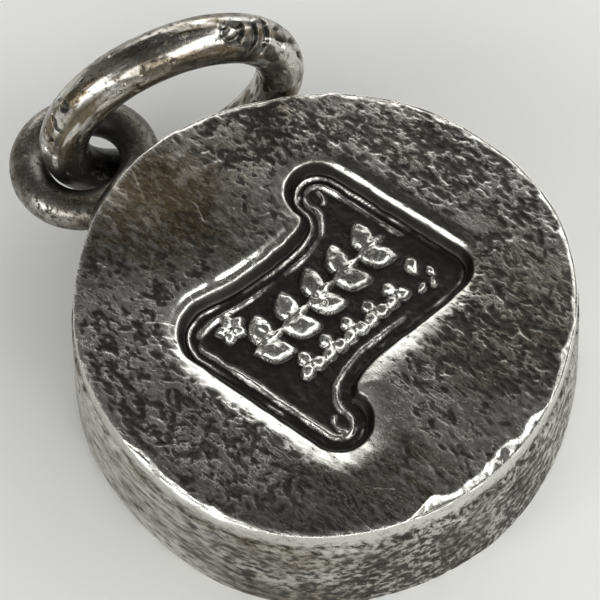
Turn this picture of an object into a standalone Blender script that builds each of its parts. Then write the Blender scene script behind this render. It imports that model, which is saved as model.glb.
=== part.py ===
"""A cast silver ball marker charm: a thick hand-cast disc with a struck scroll panel, a wire eye
soldered into a seat filed in its wall, and a heavy closed ring that hangs in the eye.

The origin is the centre of the underside, +Z points up out of the struck face, and +Y points
to the eye. Dimensions are in millimetres and become metres when the vertices are made.
"""

import math

import bmesh
import bpy
from mathutils import Matrix, Vector

MM = 0.001
GAP = 0.05  # clearance between pieces that touch

# Disc
FACE_RADIUS = 12.55
BASE_RADIUS = 13.2
THICKNESS = 7.6
DISC_SEGMENTS = 96
TOP_EDGE = 0.2
BOTTOM_EDGE = 0.6
LOBES = ((3, 0.015, math.radians(76)), (6, 0.005, math.radians(214)))  # hand-cast, out of round

# Struck scroll, which looks the same turned by half a turn about its centre
SCROLL_CENTRE = (0.05, -0.2)
LOBE_CENTRE = (4.75, 4.3)
LOBE_RADIUS = 1.8
CORNER_CENTRE = (5.0, -3.2)
CORNER_RADIUS = 1.7
WAIST_POINTS = ((2.4, -4.8), (-0.2, -3.7), (-2.1, -3.8))  # Bezier handles and the neck
NECK_POINT = (-2.65, -3.9)
POCKET_DEPTH = 1.0
SHOULDER = 0.3
BEAD_INSET = 0.75
BEAD_WIDTH = 0.25
BEAD_HEIGHT = 0.2

# Eye, lying level on the wall
EYE_CENTRE = (0.0, 16.1, 4.6)
EYE_RADIUS = 2.96
EYE_WIRE = 1.07
SOLDER_REACH = (3.2, 0.85, 1.7)

# Ring, standing on edge through the eye and leaning on the wall
RING_CENTRE = (4.23, 13.27, 7.34)
RING_RADIUS = 6.04
RING_WIRE = 1.27
RING_HEADING = math.radians(-28.6)
RING_LEAN = math.radians(7.0)


def clear_scene():
    for obj in list(bpy.data.objects):
        bpy.data.objects.remove(obj, do_unlink=True)


def material(name, colour, roughness):
    made = bpy.data.materials.new(name)
    made.use_nodes = True
    shader = made.node_tree.nodes["Principled BSDF"]
    shader.inputs["Base Color"].default_value = (*colour, 1.0)
    shader.inputs["Metallic"].default_value = 1.0
    shader.inputs["Roughness"].default_value = roughness
    return made


def new_object(name, bm, finish=None):
    """An object from a bmesh in millimetres, smooth where its faces meet at under 35 degrees."""
    bmesh.ops.recalc_face_normals(bm, faces=bm.faces)
    bmesh.ops.scale(bm, vec=(MM, MM, MM), verts=bm.verts)
    mesh = bpy.data.meshes.new(name)
    bm.to_mesh(mesh)
    bm.free()
    mesh.shade_smooth()
    mesh.set_sharp_from_angle(angle=math.radians(35))
    obj = bpy.data.objects.new(name, mesh)
    bpy.context.scene.collection.objects.link(obj)
    if finish:
        mesh.materials.append(finish)
    return obj


def helper(obj):
    obj.hide_render = True
    obj.display_type = "WIRE"
    return obj


def boolean(target, other, operation):
    modifier = target.modifiers.new(other.name, "BOOLEAN")
    modifier.operation = operation
    modifier.solver = "EXACT"
    modifier.object = other


def rim_point(radius, height, angle):
    """A point of the disc's wall: a circle with the slow lobes of a hand-cast piece."""
    swell = 1.0 + sum(size * math.cos(count * angle + phase) for count, size, phase in LOBES)
    return Vector((radius * swell * math.cos(angle), radius * swell * math.sin(angle), height))


def disc_mesh(grow=0.0, rounded=True):
    """The solid disc, wider at its base, optionally grown outwards and with its edges rounded."""
    bm = bmesh.new()
    angles = [2.0 * math.pi * step / DISC_SEGMENTS for step in range(DISC_SEGMENTS)]
    low = [bm.verts.new(rim_point(BASE_RADIUS + grow, -grow, angle)) for angle in angles]
    high = [bm.verts.new(rim_point(FACE_RADIUS + grow, THICKNESS + grow, angle)) for angle in angles]
    underside = bm.faces.new(reversed(low))
    face = bm.faces.new(high)
    for here in range(DISC_SEGMENTS):
        there = (here + 1) % DISC_SEGMENTS
        bm.faces.new((low[here], low[there], high[there], high[here]))
    bm.normal_update()
    if rounded:
        for rim, width, segments in ((face, TOP_EDGE, 4), (underside, BOTTOM_EDGE, 3)):
            bmesh.ops.bevel(
                bm, geom=list(rim.edges), offset=width, segments=segments, profile=0.5, affect="EDGES"
            )
    return bm


def torus_mesh(mean_radius, wire_radius, steps, sides):
    """A closed wire ring about Z: a circle spun through a full turn and sewn at the seam."""
    bm = bmesh.new()
    upright = Matrix.Translation((mean_radius, 0, 0)) @ Matrix.Rotation(math.pi / 2, 4, "X")
    section = bmesh.ops.create_circle(bm, segments=sides, radius=wire_radius, matrix=upright)
    bmesh.ops.spin(
        bm, geom=section["verts"] + list(bm.edges), axis=(0, 0, 1), angle=2 * math.pi, steps=steps
    )
    bmesh.ops.remove_doubles(bm, verts=bm.verts, dist=0.001)
    return bm


def arc(centre, radius, start, end, steps):
    turns = [math.radians(start + (end - start) * step / steps) for step in range(steps + 1)]
    return [Vector((centre[0] + radius * math.cos(a), centre[1] + radius * math.sin(a))) for a in turns]


def bezier(points, steps):
    """Points of the cubic curve through four handles, without its first point."""
    first, second, third, last = (Vector(point) for point in points)
    curve = []
    for step in range(1, steps + 1):
        t = step / steps
        s = 1.0 - t
        curve.append(s**3 * first + 3 * s * s * t * second + 3 * s * t * t * third + t**3 * last)
    return curve


def scroll_outline():
    """The scroll's edge, clockwise: a curled lobe, a straight side, a round corner and a waist."""
    half = arc(LOBE_CENTRE, LOBE_RADIUS, 185, 0, 12)
    half += arc(CORNER_CENTRE, CORNER_RADIUS, 0, -98, 7)
    half += bezier((half[-1], *WAIST_POINTS), 9)
    half.append(Vector(NECK_POINT))
    centre = Vector(SCROLL_CENTRE)
    return [centre + point for point in half] + [centre - point for point in half]


def inset(outline, distance):
    """The outline moved inwards along the bisector at each point."""
    moved = []
    for index, point in enumerate(outline):
        along = outline[(index + 1) % len(outline)] - outline[index - 1]
        inward = Vector((along.y, -along.x)).normalized()
        moved.append(point + inward * distance)
    return moved


def lofted_mesh(levels):
    """A closed solid through outlines of equal length, given as (outline, height) from top down."""
    bm = bmesh.new()
    rings = [[bm.verts.new((*point, height)) for point in outline] for outline, height in levels]
    for upper, lower in zip(rings, rings[1:]):
        for here in range(len(upper)):
            there = (here + 1) % len(upper)
            bm.faces.new((upper[here], upper[there], lower[there], lower[here]))
    bm.faces.new(rings[0])
    bm.faces.new(rings[-1])
    return bm


def scroll_pocket():
    """The cutter for the struck scroll: soft shoulders above a steep wall and a flat floor."""
    outline = scroll_outline()
    levels = [
        (inset(outline, -SHOULDER), THICKNESS + 1.0),
        (inset(outline, -SHOULDER), THICKNESS),
        (inset(outline, -SHOULDER / 3), THICKNESS - SHOULDER / 3),
        (outline, THICKNESS - SHOULDER),
        (inset(outline, SHOULDER / 2), THICKNESS - POCKET_DEPTH),
    ]
    return helper(new_object("scroll_pocket", lofted_mesh(levels)))


def scroll_bead():
    """The raised line that follows the scroll inside its pocket, rooted in the floor."""
    outer = inset(scroll_outline(), BEAD_INSET)
    inner = inset(scroll_outline(), BEAD_INSET + BEAD_WIDTH)
    floor = THICKNESS - POCKET_DEPTH
    bm = bmesh.new()
    rings = []
    for outline, height in ((outer, floor - 0.3), (outer, floor + BEAD_HEIGHT)):
        rings.append([bm.verts.new((*point, height)) for point in outline])
    for outline, height in ((inner, floor + BEAD_HEIGHT), (inner, floor - 0.3)):
        rings.append([bm.verts.new((*point, height)) for point in outline])
    for ring, following in zip(rings, rings[1:] + rings[:1]):
        for here in range(len(ring)):
            there = (here + 1) % len(ring)
            bm.faces.new((ring[here], ring[there], following[there], following[here]))
    return helper(new_object("scroll_bead", bm))


def eye_torus(name, grow, finish=None):
    bm = torus_mesh(EYE_RADIUS, EYE_WIRE + grow, 48, 12)
    bmesh.ops.translate(bm, vec=EYE_CENTRE, verts=bm.verts)
    return new_object(name, bm, finish)


def build():
    silver = material("antiqued_silver", (0.42, 0.40, 0.36), 0.42)
    eye_silver = material("eye_silver", (0.36, 0.35, 0.33), 0.38)
    solder = material("silver_solder", (0.30, 0.29, 0.26), 0.5)
    ring_silver = material("ring_silver", (0.40, 0.37, 0.31), 0.36)

    body = new_object("marker_body", disc_mesh(), silver)
    eye_torus("bail_eye", 0.0, eye_silver)
    seat = helper(eye_torus("eye_seat", GAP))
    boolean(body, scroll_pocket(), "DIFFERENCE")
    boolean(body, scroll_bead(), "UNION")
    boolean(body, seat, "DIFFERENCE")

    bm = bmesh.new()
    bmesh.ops.create_uvsphere(bm, u_segments=24, v_segments=14, radius=1.0)
    bmesh.ops.scale(bm, vec=SOLDER_REACH, verts=bm.verts)
    wall = Vector((0.0, EYE_CENTRE[1] - EYE_RADIUS - 0.1, EYE_CENTRE[2]))
    bmesh.ops.translate(bm, vec=wall, verts=bm.verts)
    fillet = new_object("eye_solder", bm, solder)
    boolean(fillet, helper(new_object("solder_wall", disc_mesh(GAP, rounded=False))), "DIFFERENCE")
    boolean(fillet, seat, "DIFFERENCE")

    swivel = bpy.data.objects.new("ring_swing_axis", None)
    swivel.location = Vector(EYE_CENTRE) * MM
    bpy.context.scene.collection.objects.link(swivel)
    ring = new_object("carrying_ring", torus_mesh(RING_RADIUS, RING_WIRE, 64, 16), ring_silver)
    ring.parent = swivel
    ring.location = (Vector(RING_CENTRE) - Vector(EYE_CENTRE)) * MM
    ring.rotation_euler = (math.pi / 2 + RING_LEAN, 0.0, RING_HEADING)


clear_scene()
build()
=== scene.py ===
"""The looks of a cast silver ball marker charm: a pitted disc with a struck scroll panel, a wire
eye soldered to its wall, and a heavy closed ring that hangs in the eye.

Lengths in the shape code are millimetres in the model's frame; meshes are made in metres.
"""

import math

import bmesh
import bpy
import numpy as np
from mathutils import Matrix, Vector


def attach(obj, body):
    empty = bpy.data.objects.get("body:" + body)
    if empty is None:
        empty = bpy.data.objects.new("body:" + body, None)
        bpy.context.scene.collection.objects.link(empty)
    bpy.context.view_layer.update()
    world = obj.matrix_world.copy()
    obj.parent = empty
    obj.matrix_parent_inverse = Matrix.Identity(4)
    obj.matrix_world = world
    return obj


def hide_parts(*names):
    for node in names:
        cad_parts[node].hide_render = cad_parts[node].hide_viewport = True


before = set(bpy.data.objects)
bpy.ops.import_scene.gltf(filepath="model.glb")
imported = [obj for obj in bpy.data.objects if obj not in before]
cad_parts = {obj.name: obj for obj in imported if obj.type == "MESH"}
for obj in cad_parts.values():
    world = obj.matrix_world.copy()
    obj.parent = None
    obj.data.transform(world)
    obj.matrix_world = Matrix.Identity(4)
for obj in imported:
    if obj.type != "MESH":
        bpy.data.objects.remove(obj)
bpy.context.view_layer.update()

MM = 0.001

# Disc, as in the CAD model
FACE_RADIUS = 12.55
BASE_RADIUS = 13.2
THICKNESS = 7.6
TOP_EDGE = 0.2
BOTTOM_EDGE = 0.6
LOBES = ((3, 0.015, math.radians(76)), (6, 0.005, math.radians(214)))

# Struck scroll
SCROLL_CENTRE = np.array([0.05, -0.2])
LOBE_CENTRE = (4.75, 4.3)
LOBE_RADIUS = 1.8
CORNER_CENTRE = (5.0, -3.2)
CORNER_RADIUS = 1.7
WAIST_POINTS = ((2.4, -4.8), (-0.2, -3.7), (-2.1, -3.8))
NECK_POINT = (-2.65, -3.9)
POCKET_DEPTH = 1.0

# Eye and ring
EYE_CENTRE = np.array([0.0, 16.1, 4.6])
EYE_RADIUS = 2.96
EYE_WIRE = 1.07
RING_CENTRE = np.array([4.23, 13.27, 7.34])
RING_RADIUS = 6.04
RING_WIRE = 1.27
RING_HEADING = math.radians(-28.6)
RING_LEAN = math.radians(7.0)

# Camera
CAMERA_TARGET = (-0.85, 0.86, 7.6)
CAMERA_DISTANCE = 98.5
CAMERA_AZIMUTH = math.radians(-50.0)
CAMERA_ELEVATION = math.radians(61.15)
CAMERA_ROLL = math.radians(-2.1)
CAMERA_LENS = 120.0

# Mesh density
COLUMNS = 1024  # vertices round the disc's rim and wall
ROW = 0.075  # between the rows of the face
BASE_ROW = ROW * 1.5
TOP_EDGE_STEPS = 9
WALL_STEPS = 72
BOTTOM_EDGE_STEPS = 10
EYE_STEPS = (320, 96)  # along the wire and round it
RING_STEPS = (800, 160)

CAST_GRAIN = math.radians(88)  # the direction that the pits of the face run in

# Repeatable noise
WORD = np.uint64(0xFFFFFFFF)
AXIS_PRIMES = (73856093, 19349663, 83492791)
SEED_FACTOR = 2654435761
MIXERS = ((15, 2246822519), (13, 3266489917))  # shift and factor of each round


# ---------------------------------------------------------------- numbers

def smooth(low, high, value):
    """0 below low, 1 above high and a smooth step between."""
    t = np.clip((value - low) / (high - low), 0.0, 1.0)
    return t * t * (3.0 - 2.0 * t)


def bump(value, centre, width):
    """A bell curve, 1 at the centre."""
    return np.exp(-(((value - centre) / width) ** 2))


def hashed(cells, seed):
    """A repeatable number from -1 to 1 for each row of whole numbers."""
    mixed = np.full(len(cells), seed * SEED_FACTOR % 2**32, np.uint64)
    for axis, prime in enumerate(AXIS_PRIMES[: cells.shape[1]]):
        whole = cells[:, axis].astype(np.int64).astype(np.uint64)
        mixed ^= (whole * np.uint64(prime)) & WORD
        for shift, factor in MIXERS:
            mixed = (mixed ^ (mixed >> np.uint64(shift))) * np.uint64(factor) & WORD
    return mixed.astype(np.float64) / 2**31 - 1.0


def noise(points, cell, seed):
    """Smooth noise from -1 to 1 whose lumps are about one cell across."""
    places = points / cell
    base = np.floor(places)
    blend = places - base
    blend = blend * blend * (3.0 - 2.0 * blend)
    total = np.zeros(len(points))
    for corner in range(2 ** points.shape[1]):
        offset = np.array([(corner >> axis) & 1 for axis in range(points.shape[1])])
        weight = np.prod(np.where(offset, blend, 1.0 - blend), axis=1)
        total += weight * hashed(base + offset, seed)
    return total


def fractal(points, cell, seed, octaves=3):
    """Noise summed over octaves, each half as large and half as strong as the one before."""
    total = np.zeros(len(points))
    for octave in range(octaves):
        total += noise(points, cell / 2**octave, seed + octave) / 2**octave
    return total / (2.0 - 0.5 ** (octaves - 1))


# ---------------------------------------------------------------- meshes

def new_piece(name, verts, faces, values):
    """A smooth mesh object from vertices in millimetres, with a named number at each vertex."""
    mesh = bpy.data.meshes.new(name)
    mesh.from_pydata((verts * MM).tolist(), [], faces)
    mesh.update()
    mesh.shade_smooth()
    for key, numbers in values.items():
        layer = mesh.attributes.new(key, "FLOAT", "POINT")
        layer.data.foreach_set("value", np.asarray(numbers, np.float32))
    obj = bpy.data.objects.new(name, mesh)
    bpy.context.scene.collection.objects.link(obj)
    return obj


def ring_faces(starts, counts):
    """Faces that join closed rows of vertices, where the next row has as many, half or twice."""
    faces = []
    for (start, count), (after, less) in zip(zip(starts, counts), zip(starts[1:], counts[1:])):
        here = np.arange(count)
        there = (here + 1) % count
        if less == count:
            faces += np.stack([start + here, start + there, after + there, after + here], 1).tolist()
            continue
        wide, wide_count, narrow, turned = start, count, after, False
        if less > count:
            wide, wide_count, narrow, turned = after, less, start, True
        for step in range(wide_count // 2):
            a, b, c = (wide + (2 * step + extra) % wide_count for extra in range(3))
            d = narrow + step
            e = narrow + (step + 1) % (wide_count // 2)
            for face in ((a, b, d), (b, c, e), (b, e, d)):
                faces.append(face[::-1] if turned else face)
    return faces


# ---------------------------------------------------------------- scroll panel

def arc(centre, radius, start, end, steps):
    """Points of a circle's arc from one angle in degrees to another."""
    turns = np.radians(np.linspace(start, end, steps + 1))
    return np.stack([centre[0] + radius * np.cos(turns), centre[1] + radius * np.sin(turns)], 1)


def bezier(points, steps):
    """Points of a cubic curve, without its first."""
    a, b, c, d = (np.asarray(point) for point in points)
    t = np.linspace(0.0, 1.0, steps + 1)[1:, None]
    s = 1.0 - t
    return s**3 * a + 3 * s * s * t * b + 3 * s * t * t * c + t**3 * d


def scroll_outline():
    """The scroll's edge, clockwise: a curled lobe, a straight side, a round corner and a waist."""
    lobe = arc(LOBE_CENTRE, LOBE_RADIUS, 185, 0, 30)
    corner = arc(CORNER_CENTRE, CORNER_RADIUS, 0, -98, 18)
    waist = bezier((corner[-1], *WAIST_POINTS), 18)
    half = np.concatenate([lobe, corner, waist, [NECK_POINT]])
    return np.concatenate([SCROLL_CENTRE + half, SCROLL_CENTRE - half])


def to_line(points, line, closed=False):
    """The distance of each point from a line through the given points, and the nearest place."""
    ends = np.roll(line, -1, 0) if closed else line[1:]
    starts = line if closed else line[:-1]
    best = np.full(len(points), np.inf)
    nearest = np.zeros_like(points)
    for start, end in zip(starts, ends):
        along = end - start
        share = np.clip(((points - start) @ along) / (along @ along), 0.0, 1.0)
        place = start + share[:, None] * along
        gap = np.sum((points - place) ** 2, axis=1)
        closer = gap < best
        best[closer] = gap[closer]
        nearest[closer] = place[closer]
    return np.sqrt(best), nearest


def inside(points, outline):
    """Whether each point lies inside the closed outline."""
    held = np.zeros(len(points), bool)
    for start, end in zip(outline, np.roll(outline, -1, 0)):
        spans = (start[1] > points[:, 1]) != (end[1] > points[:, 1])
        rise = end[1] - start[1] if end[1] != start[1] else 1e-9
        crossing = start[0] + (points[:, 1] - start[1]) / rise * (end[0] - start[0])
        held ^= spans & (points[:, 0] < crossing)
    return held


def to_scroll(points):
    """Signed distance from the scroll's edge, negative inside it, and the direction outwards."""
    outline = scroll_outline()
    distance, nearest = to_line(points, outline, closed=True)
    sign = np.where(inside(points, outline), -1.0, 1.0)
    outward = (points - nearest) / np.maximum(distance, 1e-6)[:, None] * sign[:, None]
    return distance * sign, outward


DOME_POWER = 0.55
POINTEDNESS = 1.2  # how much narrower a mound gets towards its ends


def dome(points, centre, long, wide, turn, height):
    """The height of a rounded lozenge-like mound, and 0 away from it."""
    cos, sin = math.cos(turn), math.sin(turn)
    moved = points - centre
    along = (moved[:, 0] * cos + moved[:, 1] * sin) / long
    across = (-moved[:, 0] * sin + moved[:, 1] * cos) / wide
    pointed = across**2 * (1.0 + POINTEDNESS * along**2)
    return height * np.clip(1.0 - along**2 - pointed, 0.0, 1.0) ** DOME_POWER


# Soft round spots on the face, as (x, y), radius, amount
WARM_SPOTS = (
    ((-0.5, 10.0), 5.0, 0.8), ((5.5, -7.5), 4.5, 0.7), ((9.5, 3.0), 4.0, 0.7), ((-4.0, -9.0), 3.0, 0.4),
)
# Film spots darken the face with tarnish; the two on its half nearest the camera, at (-7.5, -7.5) and (3.0,
# -9.0), also paint shade there
FILM_AND_SHADE_SPOTS = (
    ((-0.5, 10.0), 5.0, 0.6), ((-7.5, -7.5), 4.5, 0.6), ((3.0, -9.0), 4.0, 0.45), ((9.5, 1.0), 4.5, 0.3),
    ((7.0, 8.0), 4.5, 0.35), ((-10.5, -1.0), 3.0, 0.3),
)
BRIGHT_SPOTS = (
    ((-7.5, 6.0), 3.6, 0.5), ((8.5, 5.0), 3.8, 0.35), ((-9.0, 1.0), 3.0, 0.15), ((3.0, 6.9), 1.7, 0.5),
)
PITTED_SPOTS = (
    ((-7.0, 6.0), 4.5, 0.2), ((9.5, 1.0), 5.0, 0.55), ((-9.0, -1.5), 4.5, 0.5), ((3.0, -8.5), 5.0, 0.5),
    ((6.5, 8.0), 4.0, 0.5),
)
SMOOTH_SPOTS = (((-0.5, 10.5), 3.6, 0.5), ((-6.5, -10.5), 2.8, 0.4), ((0.5, -11.8), 2.5, 0.3))
EAR_SPOTS = (((-4.3, 5.1), 1.7, 0.5),)  # a corner of the panel that the die pushed wider
SHELF_SPOTS = (((3.4, 5.6), 2.2, 1.0),)  # a dark smooth shelf round one lobe
LEDGE_SPOTS = (((-1.2, 4.9), 2.7, 1.0),)  # the shoulder is worn to a bright ledge here
SHALLOW_SPOTS = (((-7.0, 4.2), 2.4, 0.7),)  # the dished shoulder fades out here
PLAIN_SPOTS = (((5.4, -3.2), 2.6, 0.85), ((2.6, -3.4), 1.7, 0.8))  # the border's ridges fade out here

# Dished shoulder: the narrow side's value, and what the broad side adds
DISHED_SIDE = np.array([-0.93, -0.37])  # the die bit deeper here
DISH_REACH = (0.8, 0.55)
DISH_DEPTH = (0.22, 0.14)
DISH_POWER = 1.6

# Pocket: places are distances from the scroll's edge, negative inside it
EDGE_WANDER = (0.03, 0.6)  # how far the struck edge strays, and the size of its waves
STRAIGHT_ACROSS = (5.4, 6.1)  # where the panel's straight side starts to count, in x
STRAIGHT_ENDS = ((5.0, 4.2), (-4.4, -3.6))  # and where it fades out at either end, in y
WALL_SPAN = (0.02, -0.42)
WALL_MIDDLE = -0.2
FLOOR_SPAN = (-0.3, -0.52)
BEVEL_DEPTH = 0.12
BEVEL_WIDTH = 0.12
BEVEL_TOP = 0.05
BEVEL_SHIFT = 0.07  # how far the bevel moves the wall inwards
LEDGE = (0.3, 0.12, 0.17)  # place, width, depth
BORDERS = ((-0.56, 0.1, 0.2), (-1.08, 0.15, 0.22))  # place, width and height of the outer and inner ridge
CURL = (0.13, 0.2)  # width and height of the curl's ridge
CURL_CENTRE = (4.4, 4.35)
CURL_TURNS = (-60, 130)
CURL_RADII = (0.45, 0.8)
CURL_STEPS = 20

# Ornament: half length, half width, turn in degrees and share of the relief's height
RELIEF_HEIGHT = 0.46
LEAF_ROW = (np.array([-4.15, 1.05]), np.array([5.0, 0.2]), 5)
STEM = (1.05, 0.3, -6, 0.85)
LEAF_SIZE = (1.0, 0.66)
LEAF_OFFSET = (0.18, 0.64)
LEAF_TURNS = ((1, 58), (-1, -50))  # side of the stem, turn
BERRY_ROW = (np.array([-3.67, -1.35]), np.array([3.3, -2.49]), 5)
BERRY_TURNS = (80, 200, 320)
BERRY_OFFSET = 0.42
BERRY_SIZE = (0.47, 0.85 * 0.47)
FLOWER_CENTRE = (-3.85, 2.85)
PETAL_OFFSET = (0.46, 0.4)
PETAL_SIZE = (0.42, 0.34)
SEEDS = (
    ((4.5, -2.05), 0.58, 0.42, 60, 0.9), ((3.8, -3.2), 0.36, 0.22, 10, 0.65),
    ((4.4, -3.45), 0.36, 0.22, 50, 0.65), ((4.85, -2.95), 0.36, 0.22, 80, 0.65),
)


def along_row(row):
    """The middle of each place in a row of ornament."""
    start, end, count = row
    return [start + (end - start) * (index + 0.5) / count for index in range(count)]


def ornament(points):
    """Heights of the panel's raised leaf sprig, row of berries, flower and seeds."""
    marks = list(SEEDS)
    for x, y in along_row(LEAF_ROW):
        marks.append(((x, y), *STEM))
        for side, turn in LEAF_TURNS:
            marks.append(((x + LEAF_OFFSET[0] * side, y + LEAF_OFFSET[1] * side), *LEAF_SIZE, turn, 1.0))
    for x, y in along_row(BERRY_ROW):
        for turn in BERRY_TURNS:
            away = (BERRY_OFFSET * math.cos(math.radians(turn)), BERRY_OFFSET * math.sin(math.radians(turn)))
            marks.append(((x + away[0], y + away[1]), *BERRY_SIZE, turn, 0.85))
    for turn in range(0, 360, 72):
        petal = (
            FLOWER_CENTRE[0] + PETAL_OFFSET[0] * math.cos(math.radians(turn)),
            FLOWER_CENTRE[1] + PETAL_OFFSET[1] * math.sin(math.radians(turn)),
        )
        marks.append((petal, *PETAL_SIZE, turn, 0.8))
    height = np.zeros(len(points))
    for centre, long, wide, turn, share in marks:
        raised = dome(points, np.asarray(centre), long, wide, math.radians(turn), RELIEF_HEIGHT * share)
        height = np.maximum(height, raised)
    return height


def curl_line(sign):
    """The open curl inside a lobe of the scroll, one at each end of the panel."""
    turns = np.radians(np.linspace(*CURL_TURNS, CURL_STEPS))
    radius = np.linspace(*CURL_RADII, CURL_STEPS)
    curl = np.stack([CURL_CENTRE[0] + radius * np.cos(turns), CURL_CENTRE[1] + radius * np.sin(turns)], 1)
    return SCROLL_CENTRE + sign * curl


# ---------------------------------------------------------------- disc

BOTTOM_INSET = 0.04  # how far the sloping wall has come in where the base's fillet starts
INNER_RADII = (6, 3, 1.5)  # a row has half as many vertices each time it comes inside one of these


def swell(angle):
    """How far out of round the disc is at each angle."""
    return 1.0 + sum(size * np.cos(count * angle + phase) for count, size, phase in LOBES)


def columns_at(radius, full, steps):
    """Fewer vertices in the inner rows, so that the faces stay about as wide as they are long."""
    return full // 2 ** sum(radius <= inner for inner in INNER_RADII[:steps])


def disc_profile():
    """Rows of (radius, height, normal angle, vertex count) from the face's centre to the base's."""
    rows = []
    flat = FACE_RADIUS - TOP_EDGE
    for radius in np.arange(ROW * 2, flat, ROW):
        rows.append((radius, THICKNESS, 90.0, columns_at(radius, COLUMNS, 3)))
    slope = math.degrees(math.atan2(BASE_RADIUS - FACE_RADIUS, THICKNESS))
    for turn in np.linspace(90.0, slope, TOP_EDGE_STEPS):
        out, up = math.cos(math.radians(turn)), math.sin(math.radians(turn))
        rows.append((flat + TOP_EDGE * out, THICKNESS - TOP_EDGE * (1 - up), turn, COLUMNS))
    top_radius, top_height = rows[-1][:2]
    out, up = math.cos(math.radians(slope)), math.sin(math.radians(slope))
    low_radius = BASE_RADIUS - BOTTOM_EDGE * (1 - out) - BOTTOM_INSET
    low_height = BOTTOM_EDGE * (1 + up)
    for share in np.linspace(0.0, 1.0, WALL_STEPS)[1:]:
        radius = top_radius + (low_radius - top_radius) * share
        rows.append((radius, top_height + (low_height - top_height) * share, slope, COLUMNS))
    centre = low_radius - BOTTOM_EDGE * out
    for turn in np.linspace(slope, -90.0, BOTTOM_EDGE_STEPS)[1:]:
        out, up = math.cos(math.radians(turn)), math.sin(math.radians(turn))
        rows.append((centre + BOTTOM_EDGE * out, BOTTOM_EDGE * (1 + up), turn, COLUMNS))
    for radius in np.arange(centre - BASE_ROW, ROW * 2, -BASE_ROW):
        rows.append((radius, 0.0, -90.0, columns_at(radius, COLUMNS // 2, 2)))
    return rows


def disc_grid():
    """The smooth disc as vertices, their outward directions and the faces between them."""
    places, normals, starts, counts = [], [], [], []
    total = 0
    for radius, height, turn, count in disc_profile():
        angle = 2.0 * np.pi * np.arange(count) / count
        wide = radius * swell(angle)
        places.append(np.stack([wide * np.cos(angle), wide * np.sin(angle), np.full(count, height)], 1))
        out = math.cos(math.radians(turn))
        up = np.full(count, math.sin(math.radians(turn)))
        normals.append(np.stack([out * np.cos(angle), out * np.sin(angle), up], 1))
        starts.append(total)
        counts.append(count)
        total += count
    faces = ring_faces(starts, counts)
    for middle, row, flip in ((total, 0, True), (total + 1, -1, False)):
        start, count = starts[row], counts[row]
        for here in range(count):
            pair = (start + here, start + (here + 1) % count)
            faces.append((middle, *pair) if flip else (middle, *pair[::-1]))
    places.append(np.array([[0.0, 0.0, THICKNESS], [0.0, 0.0, 0.0]]))
    normals.append(np.array([[0.0, 0.0, 1.0], [0.0, 0.0, -1.0]]))
    # The rows run from the face down the wall, which turns the faces inwards until they are reversed
    outward_faces = [face[::-1] for face in faces]
    return np.concatenate(places), np.concatenate(normals), outward_faces


CROWDING = 0.5  # the share of the way to the wall's middle that a near point moves
CROWD_REACH = 0.7


def crowd_towards_scroll(flat):
    """Moves points of the face towards the scroll's steep wall, where the shape changes fastest."""
    distance, outward = to_scroll(flat)
    from_wall = distance - WALL_MIDDLE
    return flat - outward * (CROWDING * from_wall * bump(from_wall, 0.0, CROWD_REACH))[:, None]


# Pits of the casting: count, reach, smallest and largest half width, greatest stretch, depth for its width
FACE_PITS = (10500, 12.6, (0.07, 0.27), 3.2, 0.5)
WALL_PITS = (3600, 11.6, (0.06, 0.24), 3.0, 0.45)
BASE_PITS = (4200, 13.4, (0.07, 0.3), 2.2, 0.35)
WALL_SHEETS = ((-33.0, 41), (-11.0, 42), (11.0, 43), (33.0, 44))  # place along the wall, seed of its pits
PIT_TURN = 0.4  # how far pits stray from the grain, in radians


def scatter_pits(points, seed, kind):
    """Depth of many small stretched pits at each point of a plane."""
    count, reach, (smallest, largest), stretch, depth = kind
    rng = np.random.default_rng(seed)
    deep = np.zeros(len(points))
    order = np.argsort(points[:, 0])
    sorted_x = points[order, 0]
    for _ in range(count):
        centre = rng.uniform(-reach, reach, 2)
        size = smallest * (largest / smallest) ** (rng.random() ** 2)
        turn = CAST_GRAIN + rng.normal(0.0, PIT_TURN)
        long = size * rng.uniform(1.0, stretch)
        amount = depth * size * rng.uniform(0.4, 1.0)
        low, high = np.searchsorted(sorted_x, (centre[0] - 2 * long, centre[0] + 2 * long))
        near = order[low:high]
        moved = points[near] - centre
        beside = np.abs(moved[:, 1]) < 2 * long
        near, moved = near[beside], moved[beside]
        along = (moved[:, 0] * math.cos(turn) + moved[:, 1] * math.sin(turn)) / long
        across = (-moved[:, 0] * math.sin(turn) + moved[:, 1] * math.cos(turn)) / size
        deep[near] = np.maximum(deep[near], amount * smooth(1.0, 0.25, np.sqrt(along**2 + across**2)))
    return deep


def along_grain(points):
    """Points of the face turned to the grain of the casting and shortened along it."""
    cos, sin = math.cos(CAST_GRAIN), math.sin(CAST_GRAIN)
    across = -points[:, 0] * sin + points[:, 1] * cos
    along = points[:, 0] * cos + points[:, 1] * sin
    return np.stack([across, 0.5 * along], 1)


def spots(points, places):
    """The strongest of several soft round spots at each point; a place is (x, y), radius, amount."""
    total = np.zeros(len(points))
    for centre, radius, amount in places:
        gap = np.hypot(*(points - np.asarray(centre)).T)
        total = np.maximum(total, amount * np.exp(-((gap / radius) ** 2)))
    return total


SCRATCHES = 26
SCRATCH_REACH = 10.5
SCRATCH_LENGTHS = (0.8, 2.4)
SCRATCH_WIDTH = 0.06
SCRATCH_DEPTH = 0.045


def scratches(points, seed):
    """Depth of a few long straight scratches."""
    rng = np.random.default_rng(seed)
    deep = np.zeros(len(points))
    for _ in range(SCRATCHES):
        start = rng.uniform(-SCRATCH_REACH, SCRATCH_REACH, 2)
        turn = rng.uniform(0.0, math.pi)
        end = start + rng.uniform(*SCRATCH_LENGTHS) * np.array([math.cos(turn), math.sin(turn)])
        away, _ = to_line(points, np.stack([start, end]))
        deep = np.maximum(deep, SCRATCH_DEPTH * bump(away, 0.0, SCRATCH_WIDTH))
    return deep


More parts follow.
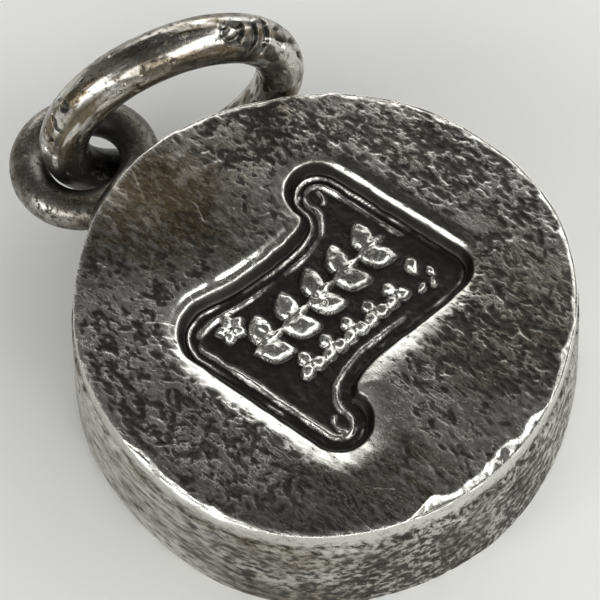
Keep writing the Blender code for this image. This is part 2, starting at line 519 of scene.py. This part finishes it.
def broad_side(flat):
    """1 on the side of the scroll where the shoulder is dished deep and broad, 0 on the other."""
    from_centre = flat - SCROLL_CENTRE
    side = from_centre @ DISHED_SIDE / np.maximum(np.hypot(*from_centre.T), 1.0)
    return smooth(-0.6, 0.35, side) * (1.0 - spots(flat, SHALLOW_SPOTS))


def border_ridges(flat, distance, near):
    """Heights of the two uneven ridges round the pocket's floor and of the curls in its lobes."""
    (outer, outer_width, outer_height), (inner, inner_width, inner_height) = BORDERS
    uneven = 0.72 + 0.6 * noise(flat, 0.9, 12) + 0.12 * noise(flat, 0.22, 16)
    ridge = outer_height * bump(distance, outer, outer_width) * np.clip(uneven + 0.25 - 0.85 * near, 0.0, 1.1)
    ridge = np.maximum(ridge, inner_height * bump(distance, inner, inner_width) * np.clip(uneven, 0.0, 1.2))
    ridge *= 1.0 - spots(flat, PLAIN_SPOTS)
    width, height = CURL
    broken = np.clip(0.45 + 1.4 * noise(flat, 0.5, 19), 0.0, 1.1)
    for sign in (1, -1):
        away, _ = to_line(flat, curl_line(sign))
        ridge = np.maximum(ridge, height * bump(away, 0.0, width) * broken)
    return ridge


def face_relief(flat):
    """Height of the struck face, and shares of oxide, open face, dished shoulder and worn lip."""
    distance, _ = to_scroll(flat)
    stray, waves = EDGE_WANDER
    distance = distance + noise(flat, waves, 11) * stray - spots(flat, EAR_SPOTS)
    near = broad_side(flat)
    reach = DISH_REACH[0] + DISH_REACH[1] * near
    dish = DISH_DEPTH[0] + DISH_DEPTH[1] * near
    height = -dish * np.clip(1.0 - np.clip(distance, 0.0, None) / reach, 0.0, 1.0) ** DISH_POWER

    # A bright bevel leads into the pocket along its straight side, below a dark smooth shelf
    straight = smooth(*STRAIGHT_ACROSS, flat[:, 0])
    for end in STRAIGHT_ENDS:
        straight *= smooth(*end, flat[:, 1])
    wall = distance + BEVEL_SHIFT * straight
    height -= BEVEL_DEPTH * straight * np.clip((BEVEL_TOP - distance) / BEVEL_WIDTH, 0.0, 1.0)
    height -= (POCKET_DEPTH - dish - BEVEL_DEPTH * straight) * smooth(*WALL_SPAN, wall)
    shelf = np.maximum(straight, spots(flat, SHELF_SPOTS))
    ledge = spots(flat, LEDGE_SPOTS)
    place, width, depth = LEDGE
    broken = np.clip(0.75 + 0.7 * noise(flat, 0.45, 15), 0.0, 1.2)
    height -= depth * bump(distance, place, width) * ledge * broken

    floor = smooth(*FLOOR_SPAN, distance)
    ridge = border_ridges(flat, distance, near)
    raised = ornament(flat) * (1.0 + 0.22 * fractal(flat, 0.5, 13) + 0.1 * noise(flat, 0.2, 17))
    worn = raised - np.clip(raised - 0.4, 0.0, 1.0) * 0.5
    height += floor * np.maximum(worn, ridge)
    height += floor * (0.03 * fractal(flat, 0.5, 14) + 0.012 * noise(flat, 0.2, 18))

    # Oxide fills the pocket but for its raised parts, and darkens the shelf
    lit = floor * np.clip(np.maximum(worn / 0.34, ridge / 0.14), 0.0, 1.0)
    oxide = (1.0 - smooth(-0.1, 0.02, wall)) * (1.0 - 0.97 * smooth(0.3, 0.62, lit))
    oxide = np.maximum(oxide, 0.85 * shelf * smooth(0.05, 0.1, distance) * smooth(0.95, 0.6, distance))
    face = smooth(0.0, 0.35, distance - 0.4 * shelf)
    dished = np.maximum(near * smooth(reach, 0.25 * reach, distance), 0.6 * shelf * bump(distance, 1.3, 0.35))
    lip = straight * bump(distance, -0.01, 0.06) * np.clip(0.8 + 0.6 * noise(flat, 0.8, 28), 0.0, 1.0)
    lip = np.maximum(lip, 0.9 * ledge * bump(distance, 0.25, 0.25))
    return height, oxide, face, dished, lip


def turned_from(angle, middle):
    """How far each angle has turned from one in degrees, up to half a turn either way."""
    return (angle - math.radians(middle) + math.pi) % (2.0 * math.pi) - math.pi


def around(angle, middle, spread):
    """1 in the inner half of a sector and 0 outside it; middle and half spread are in degrees."""
    return smooth(math.radians(spread), math.radians(spread * 0.5), np.abs(turned_from(angle, middle)))


# Worn facets of the rim: middle and half spread in degrees, width, and the slope of the lower ones
BLUNTED = 0.05  # all round
STEEP_FACETS = ((185, 24, 0.42), (256, 26, 0.13))  # at 45 degrees
LOW_FACETS = ((258, 26, 0.85, 0.68),)  # inside the rim's rounded edge
EDGE_FACETS = ((20, 80, 0.56, 0.36), (318, 52, 0.5, 0.45))  # across it


def rim_wear(places, radius, angle):
    """How far the worn rim lies inside the unworn one: the deepest of its facets at each point."""
    from_rim = np.clip(FACE_RADIUS - radius, 0.0, None)
    inward = from_rim + np.clip(THICKNESS - places[:, 2], 0.0, None)
    uneven = 0.75 + 0.45 * noise(places, 0.9, 24)
    ragged = uneven + 0.2 * noise(places, 0.6, 27)
    steep = BLUNTED + sum(size * around(angle, middle, spread) for middle, spread, size in STEEP_FACETS)
    wear = np.clip(steep * uneven - inward, 0.0, None)
    top = places[:, 2] > THICKNESS - 0.05
    chips = 0.7 + 0.3 * smooth(-0.25, 0.1, fractal(places, 0.4, 29, 2))
    for middle, spread, size, slope in LOW_FACETS:
        low = size * around(angle, middle, spread) * ragged
        wear = np.maximum(wear, slope * np.clip(low - inward, 0.0, None) * top * chips)
    for middle, spread, size, slope in EDGE_FACETS:
        cut = size * around(angle, middle, spread) * ragged - from_rim
        wear = np.maximum(wear, slope * np.clip(cut, 0.0, None) - (THICKNESS - places[:, 2]))
    return wear


DARK_SIDE = 238  # in degrees round the wall
SMOOTH_SIDE = 150
TARNISH_HEIGHTS = (7.1, 6.2)  # the wall is clean above these and tarnished below them
CLOUD_HEIGHTS = (6.6, 3.0)  # and more so between these


def wall_finish(places, angle):
    """Depth of the pits, film and pittedness of the disc's wall, which is bright near the rim."""
    plane = np.stack([places[:, 2], angle * BASE_RADIUS], 1)
    pits = np.zeros(len(places))
    for shift, seed in WALL_SHEETS:
        pits = np.maximum(pits, scatter_pits(plane - np.array([0.0, shift]), seed, WALL_PITS))
    low = smooth(*TARNISH_HEIGHTS, places[:, 2])
    cloudy = fractal(places, 3.4, 45, 3) + 0.25 * smooth(*CLOUD_HEIGHTS, places[:, 2])
    patch = low * smooth(-0.55, 0.5, cloudy)
    patch *= 1.0 - 0.85 * around(angle, SMOOTH_SIDE, 65)
    turn = np.abs(turned_from(angle, DARK_SIDE))
    shade = smooth(math.radians(62), math.radians(25), turn) * low
    film = 0.2 + 0.3 * patch + 0.35 * shade + 0.25 * smooth(0.0, 0.8, fractal(places, 5.0, 46, 2)) * low
    film += 0.25 * around(angle, SMOOTH_SIDE, 75)
    return pits * patch * (0.35 + 0.65 * shade), film, 0.05 + 0.55 * patch + 0.3 * shade


GROOVE_SECTOR = (195, 50)  # a faint dark groove just inside the rim, in degrees
GROOVE = (11.7, 0.5)  # its radius and width
DOME_HEIGHTS = (0.05, 0.14)  # in the face's middle, and the fall to its rim
DOME_SPAN = (7.5, 12.6)
DOME_LOWEST = 6.0  # the doming stops at this height on the wall
RIM_LIMITS = (6.8, 11.7)  # lowest height and smallest radius of the worn rim
RIM_POLISH = (0.08, 0.2, 6.6)  # how far in the bright line along the rim lies, its width and lowest height
PITLESS_SPAN = (12.4, 12.1)  # the face's pits fade out between these radii

# Unevenness of the metal: height and size of the lumps
WAVES = (0.05, 3.2)
DIMPLES = (0.022, 0.9)
GRAIN = (0.02, 0.34)
RIM_DENTS = (0.018, 0.8)


def lumps(points, kind, seed):
    """Uneven heights at each point, where a kind is the height and size of its lumps."""
    height, cell = kind
    return height * fractal(points, cell, seed, 2)


def disc_piece():
    """The cast disc: an even grid pushed in and out along its outward directions."""
    places, normals, faces = disc_grid()
    on_face = normals[:, 2] > 0.999
    under = normals[:, 2] < -0.9
    side = np.abs(normals[:, 2]) < 0.6
    places[on_face, :2] = crowd_towards_scroll(places[on_face, :2])
    angle = np.arctan2(places[:, 1], places[:, 0])
    radius = np.hypot(places[:, 0], places[:, 1]) / swell(angle)
    flat = places[on_face, :2]

    height = np.zeros(len(places))
    oxide = np.zeros(len(places))
    pits = np.zeros(len(places))
    open_face = np.ones(len(places))
    calm = np.ones(len(places))
    film = np.full(len(places), 0.3)
    pitted = np.full(len(places), 0.6)
    warm = 0.45 + 0.4 * fractal(places, 4.0, 25, 2)

    relief, dark, face, dished, lip = face_relief(flat)
    height[on_face] += relief
    groove = around(angle[on_face], *GROOVE_SECTOR) * bump(radius[on_face], *GROOVE)
    oxide[on_face] = np.maximum(dark, 0.4 * groove)
    open_face[on_face] = face
    calm[on_face] = 1.0 - 0.7 * dished
    warm[on_face] = 0.15 + spots(flat, WARM_SPOTS)
    # The film spots add tarnish, and painted shade on the face's half nearest the camera
    film[on_face] = 0.35 + spots(flat, FILM_AND_SHADE_SPOTS) - spots(flat, BRIGHT_SPOTS) - 0.55 * dished
    pitted[on_face] = 0.35 + spots(flat, PITTED_SPOTS) - spots(flat, SMOOTH_SPOTS) - 0.7 * dished

    # The face is slightly domed and hand-worked wavy, and its rim is dented and worn
    middle, fall = DOME_HEIGHTS
    height += (middle - fall * smooth(*DOME_SPAN, radius)) * (places[:, 2] > DOME_LOWEST)
    height += lumps(places, WAVES, 21) * open_face * (0.4 + 0.6 * calm)
    height += lumps(places, DIMPLES, 22) * calm
    height[on_face] += lumps(along_grain(flat), GRAIN, 26) * calm[on_face]
    rim = (places[:, 2] > RIM_LIMITS[0]) & (radius > RIM_LIMITS[1])
    height[rim] += lumps(places[rim], RIM_DENTS, 23)
    wear = np.zeros(len(places))
    wear[rim] = rim_wear(places[rim], radius[rim], angle[rim])
    height -= wear

    # Pits follow, for each side in its own plane
    share = np.clip(pitted[on_face] * 1.3, 0.08, 1.0) * np.clip(0.75 + 0.6 * noise(flat, 1.6, 33), 0.15, 1.0)
    share *= smooth(*PITLESS_SPAN, radius[on_face])
    pits[on_face] = scatter_pits(flat, 31, FACE_PITS) * share * face
    height[on_face] -= scratches(flat, 35) * face
    pits[side], film[side], pitted[side] = wall_finish(places[side], angle[side])
    pits[under] = scatter_pits(places[under, :2], 51, BASE_PITS)
    film[under] = 0.45 + 0.3 * fractal(places[under], 4.0, 52, 2)
    height -= pits
    places = places + normals * height[:, None]
    places[places[:, 2] < 0.0, 2] = 0.0

    inset, width, lowest = RIM_POLISH
    edge = bump(radius, FACE_RADIUS - inset, width) * (places[:, 2] > lowest)
    edge[on_face] = np.maximum(edge[on_face], lip)
    values = {
        "oxide": np.maximum(oxide, smooth(0.003, 0.024, pits) * 0.97),
        "worn": np.clip(edge + smooth(0.01, 0.06, wear), 0.0, 1.0),
        "film": np.clip(film, 0.0, 1.0),
        "warm": np.clip(warm, 0.0, 1.0),
        "pitted": np.clip(pitted, 0.0, 1.0) * np.where(on_face, np.clip(open_face, 0.15, 1.0), 1.0),
    }
    return new_piece("disc_silver", places, faces, values)


# ---------------------------------------------------------------- wire loops

def wire_loop(centre, right, up, mean_radius, wire_radius, steps):
    """A closed wire ring: places, outward directions, angles along and round the wire, and faces."""
    long_steps, round_steps = steps
    along = 2.0 * np.pi * np.arange(long_steps) / long_steps
    round_wire = 2.0 * np.pi * np.arange(round_steps) / round_steps
    through = np.cross(right, up)
    radial = np.cos(along)[:, None] * right + np.sin(along)[:, None] * up
    cos, sin = np.cos(round_wire)[None, :, None], np.sin(round_wire)[None, :, None]
    normals = cos * radial[:, None] + sin * through
    middle = centre + mean_radius * radial
    places = middle[:, None] + wire_radius * normals
    index = np.arange(long_steps * round_steps).reshape(long_steps, round_steps)
    after = np.roll(index, -1, 0)
    faces = np.stack([index, after, np.roll(after, -1, 1), np.roll(index, -1, 1)], -1).reshape(-1, 4)
    angles = np.stack(np.broadcast_arrays(along[:, None], round_wire[None, :]), -1).reshape(-1, 2)
    return places.reshape(-1, 3), normals.reshape(-1, 3), angles, faces.tolist()


EYE_LUMPS = (0.025, 1.6)


def eye_piece():
    """The level wire eye, filmed over, near black inside with oxide and painted shade, and with painted shade
    on its side towards the ring.
    """
    right, up = np.array([1.0, 0, 0]), np.array([0, 1.0, 0])
    places, normals, angles, faces = wire_loop(EYE_CENTRE, right, up, EYE_RADIUS, EYE_WIRE, EYE_STEPS)
    height = lumps(places, EYE_LUMPS, 61)
    dents = np.clip(fractal(places, 0.5, 62, 2) - 0.4, 0.0, 1.0) * 0.12
    # Oxide and painted shade blacken the wire's inner side, round the eye's hole
    inner = smooth(-0.1, -0.75, np.cos(angles[:, 1]))
    # Painted shade on the eye's side towards the ring
    painted_shade = 0.55 * smooth(0.1, 0.9, np.cos(angles[:, 0]))
    values = {
        # The oxide value here also holds the painted shade
        "oxide": np.clip(0.85 * inner + dents * 10 + painted_shade, 0.0, 1.0),
        "worn": np.zeros(len(places)),
        "film": np.clip(0.92 + 0.35 * fractal(places, 1.4, 63, 2), 0.0, 1.0),
        "warm": np.full(len(places), 0.3),
        "pitted": np.clip(0.2 + 0.3 * noise(places, 1.5, 64), 0.0, 1.0),
    }
    places = places + normals * (height - dents)[:, None]
    return new_piece("eye_wire", places, faces, values)


def ring_directions():
    """The two directions that the ring lies along: level, and up with the ring's lean."""
    right = np.array([math.cos(RING_HEADING), math.sin(RING_HEADING), 0.0])
    outward = np.array([-math.sin(RING_HEADING), math.cos(RING_HEADING), 0.0])
    up = math.cos(RING_LEAN) * np.array([0.0, 0.0, 1.0]) - math.sin(RING_LEAN) * outward
    return right, up


RING_LUMPS = (0.03, 2.0)
RING_SLOTS = (
    # place along the ring and round its wire in degrees, half length and width, turn, depth
    (53, 30, 1.3, 0.18, 76, 0.2), (46, 20, 1.3, 0.2, 84, 0.22), (37, 0, 0.5, 0.17, 20, 0.2),
    (36, 32, 0.6, 0.2, -20, 0.2), (26, 16, 0.55, 0.2, 10, 0.24), (16, 32, 0.6, 0.2, 0, 0.24),
    (142, 6, 0.34, 0.25, 60, 0.24), (152, 14, 0.6, 0.17, 70, 0.22), (161, 22, 0.65, 0.17, 75, 0.22),
    (170, 32, 0.65, 0.17, 80, 0.22),
)
STAMP_PLACE = (64, 18)  # of a small stamped circle
STAMP = (0.48, 0.17, 0.22)  # its radius, line width and depth
# Sectors along the ring: random grime gathers round the first, and the second, where the ring passes through
# the eye, is darkened as painted shade
GRIME_AND_SHADE_SECTORS = ((42, 34), (222, 70))  # along the ring
RUBBED_SPOTS = ((164, 26, 0.1, 0.45), (80, 36, 0.62, 0.15))  # sector along, place and width round


def ring_marks(places, angles):
    """Depth of the stamped circle and slots at each point of the ring's surface."""
    deep = np.zeros(len(angles))
    ragged = 0.16 * fractal(places, 0.4, 79, 2)

    def flat_from(along, round_wire):
        turn = turned_from(angles[:, 0], along)
        tilt = turned_from(angles[:, 1], round_wire)
        return np.stack([turn * (RING_RADIUS + RING_WIRE * 0.9), tilt * RING_WIRE], 1)

    for along, round_wire, long, wide, turn, depth in RING_SLOTS:
        flat = flat_from(along, round_wire)
        cos, sin = math.cos(math.radians(turn)), math.sin(math.radians(turn))
        across = flat @ np.array([-sin, cos]) + ragged
        reach = np.hypot((flat @ np.array([cos, sin])) / long, across / wide)
        deep = np.maximum(deep, depth * smooth(1.25, 0.5, reach))
    radius, width, depth = STAMP
    circle = np.hypot(*flat_from(*STAMP_PLACE).T) + ragged
    return np.maximum(deep, depth * bump(circle, radius, width))


def ring_piece():
    """The heavy ring, hammered, with drawn ridges along its wire."""
    right, up = ring_directions()
    places, normals, angles, faces = wire_loop(RING_CENTRE, right, up, RING_RADIUS, RING_WIRE, RING_STEPS)
    along, turn = angles[:, 0], angles[:, 1]
    drawn_out = np.stack([along * 1.2, np.cos(turn) * 1.3, np.sin(turn) * 1.3], 1)
    height = lumps(places, RING_LUMPS, 71) + 0.045 * fractal(drawn_out, 0.5, 74, 3)
    dents = np.clip(fractal(places, 0.45, 72, 2) - 0.38, 0.0, 1.0) * 0.14
    marks = ring_marks(places, angles)
    stripes = smooth(0.15, 0.35, fractal(drawn_out, 0.42, 75, 3))
    first, second = GRIME_AND_SHADE_SECTORS
    # Random grime round the first sector, then painted shade where the ring passes through the eye
    grime_and_shade = smooth(0.0, 0.4, fractal(places, 0.8, 80, 4) + 0.5 * around(along, *first) - 0.4)
    grime_and_shade = np.maximum(grime_and_shade, 0.9 * around(along, *second))
    polished = sum(
        around(along, middle, spread) * bump(turn, place, width)
        for middle, spread, place, width in RUBBED_SPOTS
    )
    rubbed = 0.8 * polished * smooth(-0.25, 0.2, fractal(places, 0.7, 83, 3))
    values = {
        # The oxide value holds real oxide in dents, marks and stripes, with grime and the painted shade by
        # the eye
        "oxide": np.clip(dents * 9 + marks * 6 + 0.55 * stripes + 0.9 * grime_and_shade, 0.0, 1.0),
        "worn": np.maximum(0.9 * smooth(0.18, 0.36, fractal(drawn_out, 0.4, 78, 3)), rubbed),
        "film": np.clip(0.84 + 1.1 * fractal(drawn_out, 0.5, 73, 3), 0.0, 1.0),
        "warm": np.clip(0.7 + 0.6 * fractal(places, 2.5, 77, 2), 0.0, 1.0),
        "pitted": np.clip(0.12 + 0.35 * noise(places, 1.5, 76), 0.0, 1.0),
    }
    places = places + normals * (height - dents - marks)[:, None]
    return new_piece("ring_wire", places, faces, values)


SOLDER_LUMPS = (0.015, 0.5)
WELD = 1e-6  # metres


def solder_piece():
    """The CAD fillet, refined and made a little uneven."""
    rough = bmesh.new()
    rough.from_mesh(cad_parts["eye_solder"].data)
    bmesh.ops.remove_doubles(rough, verts=rough.verts, dist=WELD)
    bmesh.ops.subdivide_edges(rough, edges=rough.edges, cuts=2, use_grid_fill=True)
    bmesh.ops.triangulate(rough, faces=rough.faces)
    rough.normal_update()
    places = np.array([vert.co[:] for vert in rough.verts]) / MM
    normals = np.array([vert.normal[:] for vert in rough.verts])
    faces = [[vert.index for vert in face.verts] for face in rough.faces]
    rough.free()
    places = places + normals * lumps(places, SOLDER_LUMPS, 81)[:, None]
    film = 0.6 + 0.3 * fractal(places, 0.8, 82, 2)
    values = {
        "oxide": np.clip(film - 0.3, 0.0, 1.0),
        "worn": film * 0.0,
        "film": film,
        "warm": film * 0.5,
        "pitted": film * 0.6,
    }
    return new_piece("solder_fillet", places, faces, values)


# ---------------------------------------------------------------- materials

class Nodes:
    """A short way to add and join shader nodes."""

    def __init__(self, name):
        self.material = bpy.data.materials.new(name)
        self.material.use_nodes = True
        self.tree = self.material.node_tree
        self.shader = self.tree.nodes["Principled BSDF"]

    def add(self, kind, settings=(), **inputs):
        node = self.tree.nodes.new(kind)
        for key, value in settings:
            setattr(node, key, value)
        for key, value in inputs.items():
            self.put(node.inputs[key.replace("_", " ")], value)
        return node

    def put(self, socket, value):
        if isinstance(value, bpy.types.NodeSocket):
            self.tree.links.new(value, socket)
        else:
            socket.default_value = value

    def math(self, operation, first, second, clamp=False):
        node = self.tree.nodes.new("ShaderNodeMath")
        node.operation = operation
        node.use_clamp = clamp
        for socket, value in zip(node.inputs, (first, second)):
            self.put(socket, value)
        return node.outputs[0]

    def mix(self, share, first, second):
        node = self.tree.nodes.new("ShaderNodeMix")
        node.data_type = "RGBA"
        self.put(node.inputs[0], share)
        self.put(node.inputs[6], first)
        self.put(node.inputs[7], second)
        return node.outputs[2]

    def ramp(self, value, low, high, start=0.0, end=1.0):
        node = self.add("ShaderNodeMapRange", (("interpolation_type", "SMOOTHSTEP"),))
        for socket, number in zip(node.inputs, (value, low, high, start, end)):
            self.put(socket, number)
        return node.outputs[0]

    def noise(self, where, scale, detail, roughness):
        node = self.add("ShaderNodeTexNoise", Vector=where, Scale=scale, Detail=detail, Roughness=roughness)
        return node.outputs["Fac"]

    def attribute(self, name):
        return self.add("ShaderNodeAttribute", (("attribute_name", name),)).outputs["Fac"]


BRIGHT = (0.70, 0.685, 0.645, 1.0)
GREY_FILM = (0.125, 0.12, 0.11, 1.0)
BROWN_FILM = (0.15, 0.118, 0.072, 1.0)
OXIDE = (0.05, 0.048, 0.043, 1.0)
LUMP_SCALE = 3000.0  # of the finish's noises, per metre
GRIT_SCALE = 8000.0
HAZE_SCALE = 420.0
SKIN_BUMP = (0.35, 0.00003)  # strength, and depth in metres
HOLE_BUMP = (0.4, 0.00005)


def silver(name, stretch, mottle, polish=(0.17, 0.3)):
    """Antiqued silver: bright where worn, grey or brown where filmed over, near black in its pits."""
    n = Nodes(name)
    place = n.add("ShaderNodeTexCoord").outputs["Object"]
    turned = n.add("ShaderNodeMapping", (("vector_type", "TEXTURE"),), Vector=place)
    turned.inputs["Rotation"].default_value = (0.0, 0.0, CAST_GRAIN - math.pi / 2)
    turned.inputs["Scale"].default_value = (1.0, stretch, 1.0)
    grain = turned.outputs[0]
    oxide, worn = n.attribute("oxide"), n.attribute("worn")
    film, pitted = n.attribute("film"), n.attribute("pitted")
    unworn = n.math("SUBTRACT", 1.0, worn)

    # Small holes open where the ground sinks below a level that rises with the pitted share
    lumpy = n.noise(grain, LUMP_SCALE, 2.0, 0.5)
    grit = n.noise(grain, GRIT_SCALE, 4.0, 0.7)
    ground = n.math("ADD", n.math("MULTIPLY", lumpy, 0.6), n.math("MULTIPLY", grit, 0.4))
    level = n.math("ADD", 0.38, n.math("MULTIPLY", pitted, 0.135))
    hollow = n.math("SUBTRACT", level, ground)
    hole = n.ramp(hollow, -0.02, 0.02)

    broad = n.noise(grain, HAZE_SCALE, 3.0, 0.6)
    haze = n.math("ADD", film, n.ramp(broad, 0.35, 0.65, -0.22 * mottle, 0.22 * mottle))
    haze = n.math("ADD", haze, n.ramp(ground, 0.4, 0.62, 0.3 * mottle, -0.35 * mottle), clamp=True)
    tint = n.mix(n.attribute("warm"), GREY_FILM, BROWN_FILM)
    tone = n.mix(n.math("MULTIPLY", haze, unworn), BRIGHT, tint)
    dark = n.math("MULTIPLY", n.math("MAXIMUM", oxide, n.math("MULTIPLY", hole, 0.9)), unworn)
    n.put(n.shader.inputs["Base Color"], n.mix(dark, tone, OXIDE))
    n.put(n.shader.inputs["Metallic"], 1.0)
    rough = n.math("ADD", n.ramp(grit, 0.3, 0.7, *polish), n.math("MULTIPLY", haze, 0.06))
    n.put(n.shader.inputs["Roughness"], n.math("ADD", rough, n.math("MULTIPLY", dark, 0.2)))
    strength, depth = SKIN_BUMP
    skin = n.add("ShaderNodeBump", Strength=strength, Distance=depth, Height=grit)
    strength, depth = HOLE_BUMP
    basin = n.ramp(hollow, -0.03, 0.06, 1.0, 0.0)
    holes = n.add("ShaderNodeBump", Strength=strength, Distance=depth, Height=basin, Normal=skin.outputs[0])
    n.put(n.shader.inputs["Normal"], holes.outputs[0])
    return n.material


def plain(name, colour, roughness):
    """An even finish, for the floor."""
    n = Nodes(name)
    n.put(n.shader.inputs["Base Color"], colour)
    n.put(n.shader.inputs["Roughness"], roughness)
    return n.material


# ---------------------------------------------------------------- stage

def toward(azimuth, elevation):
    """The direction at an azimuth, which is 0 along -Y, and an elevation, both in radians."""
    level = math.cos(elevation)
    return Vector((math.sin(azimuth) * level, -math.cos(azimuth) * level, math.sin(elevation)))


def add_camera():
    """The camera, turned to the target and rolled a little."""
    away = toward(CAMERA_AZIMUTH, CAMERA_ELEVATION)
    right = Vector((0, 0, 1)).cross(away).normalized()
    up = away.cross(right)
    right, up = (
        math.cos(CAMERA_ROLL) * right + math.sin(CAMERA_ROLL) * up,
        -math.sin(CAMERA_ROLL) * right + math.cos(CAMERA_ROLL) * up,
    )
    data = bpy.data.cameras.new("camera")
    data.lens = CAMERA_LENS
    data.clip_start = 0.005
    camera = bpy.data.objects.new("camera", data)
    axes = Matrix((right, up, away)).transposed().to_4x4()
    camera.matrix_world = Matrix.Translation((Vector(CAMERA_TARGET) + away * CAMERA_DISTANCE) * MM) @ axes
    bpy.context.scene.collection.objects.link(camera)
    bpy.context.scene.camera = camera


PANELS = (
    # name, azimuth from the camera and elevation in degrees, distance, width and height in metres, watts
    ("near_window", 0, 30, 0.6, (0.9, 0.18), 1.7),
    ("far_window", 162, 23, 0.7, (1.5, 0.46), 4.0),
    ("left_window", -58, 24, 0.6, (0.25, 0.25), 1.1),
    ("right_window", 57, 36, 0.6, (0.56, 0.25), 1.5),
    ("rim_window", 99, 30, 0.6, (0.32, 0.18), 0.45),
)


def add_panel(name, azimuth, elevation, distance, size, power):
    """A soft rectangular light that faces the charm; azimuth 0 is the side that the camera is on."""
    away = toward(CAMERA_AZIMUTH + math.radians(azimuth), math.radians(elevation))
    data = bpy.data.lights.new(name, "AREA")
    data.shape = "RECTANGLE"
    data.size, data.size_y = size
    data.energy = power
    lamp = bpy.data.objects.new(name, data)
    lamp.location = away * distance
    lamp.rotation_euler = away.to_track_quat("Z", "Y").to_euler()
    bpy.context.scene.collection.objects.link(lamp)


SKY = 0.27
SKY_COLOUR = (1.0, 1.0, 0.98, 1.0)
CEILING = 0.115
CEILING_ELEVATION = math.radians(68.0)  # on the far side, where the face mirrors it to the camera
CEILING_ANGLES = (math.radians(24.0), math.radians(50.0))  # of its dark middle and of its soft edge
FLOOR_SIZE = 3.0
FLOOR_DROP = 0.00002  # the floor lies a hair below the disc
FLOOR_COLOUR = (0.84, 0.845, 0.82, 1.0)
FLOOR_ROUGHNESS = 0.6


def add_sky():
    """A soft grey studio with a dark ceiling patch, which the struck face mirrors."""
    world = bpy.data.worlds.new("studio")
    bpy.context.scene.world = world
    world.use_nodes = True
    tree = world.node_tree
    closeness = tree.nodes.new("ShaderNodeVectorMath")
    closeness.operation = "DOT_PRODUCT"
    opposite = toward(CAMERA_AZIMUTH, CEILING_ELEVATION)
    closeness.inputs[1].default_value = (-opposite.x, -opposite.y, opposite.z)
    shade = tree.nodes.new("ShaderNodeMapRange")
    shade.interpolation_type = "SMOOTHSTEP"
    inner, outer = CEILING_ANGLES
    for socket, value in zip(shade.inputs[1:5], (math.cos(outer), math.cos(inner), SKY, CEILING)):
        socket.default_value = value
    tree.links.new(tree.nodes.new("ShaderNodeTexCoord").outputs["Generated"], closeness.inputs[0])
    tree.links.new(closeness.outputs["Value"], shade.inputs[0])
    tree.links.new(shade.outputs[0], tree.nodes["Background"].inputs["Strength"])
    tree.nodes["Background"].inputs["Color"].default_value = SKY_COLOUR


def add_stage():
    """The pale floor, the sky and the lights."""
    bpy.ops.mesh.primitive_plane_add(size=FLOOR_SIZE, location=(0, 0, -FLOOR_DROP))
    floor = bpy.context.object
    floor.name = "floor"
    floor.data.materials.append(plain("pale_floor", FLOOR_COLOUR, FLOOR_ROUGHNESS))
    add_sky()
    for panel in PANELS:
        add_panel(*panel)
    bpy.context.scene.view_settings.view_transform = "Standard"


# ---------------------------------------------------------------- assembly

def main():
    add_camera()
    add_stage()
    disc = disc_piece()
    disc.data.materials.append(silver("disc_finish", 2.8, 1.0))
    eye = eye_piece()
    eye.data.materials.append(silver("eye_finish", 1.0, 0.4))
    solder = solder_piece()
    solder.data.materials.append(silver("solder_finish", 1.0, 0.8))
    ring = ring_piece()
    ring.data.materials.append(silver("ring_finish", 1.0, 0.45, (0.1, 0.22)))
    for piece, node, slot, body in (
        (disc, "marker_body", "disc_silver", "marker"),
        (eye, "bail_eye", "eye_silver", "marker"),
        (solder, "eye_solder", "solder_silver", "marker"),
        (ring, "carrying_ring", "ring_silver", "ring"),
    ):
        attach(piece, body)
        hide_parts(node)


main()
